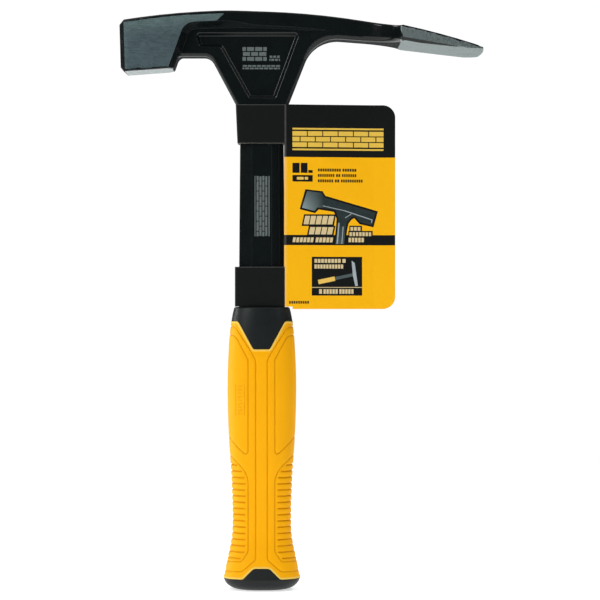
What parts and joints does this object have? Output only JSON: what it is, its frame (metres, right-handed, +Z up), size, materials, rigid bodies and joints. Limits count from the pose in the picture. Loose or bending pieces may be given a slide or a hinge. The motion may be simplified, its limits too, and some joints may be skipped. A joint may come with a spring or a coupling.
{
  "type": "brick hammer",
  "caption": "One-piece steel brick hammer with a square striking poll, a wide chisel blade, a soft two-colour grip and a folded card sleeve on its shank.",
  "frame": {"origin": "middle of the butt's flat bottom face, on the handle's axis", "axes": "+Z up the handle towards the head, +X towards the chisel blade, -Y towards the front"},
  "size_m": [0.1879, 0.05, 0.2993],
  "materials": {
    "painted_steel": "gloss black paint, with bare ground steel on the poll and the blade",
    "hard_plastic": "fine matt texture",
    "soft_overmould": "satin",
    "printed_card": "coated and printed"
  },
  "bodies": {
    "root": {"steel_forging": "painted_steel", "grip_core": "hard_plastic", "grip_sleeve": "soft_overmould", "butt_cap": "hard_plastic", "retail_card": "printed_card"}
  },
  "joints": []
}
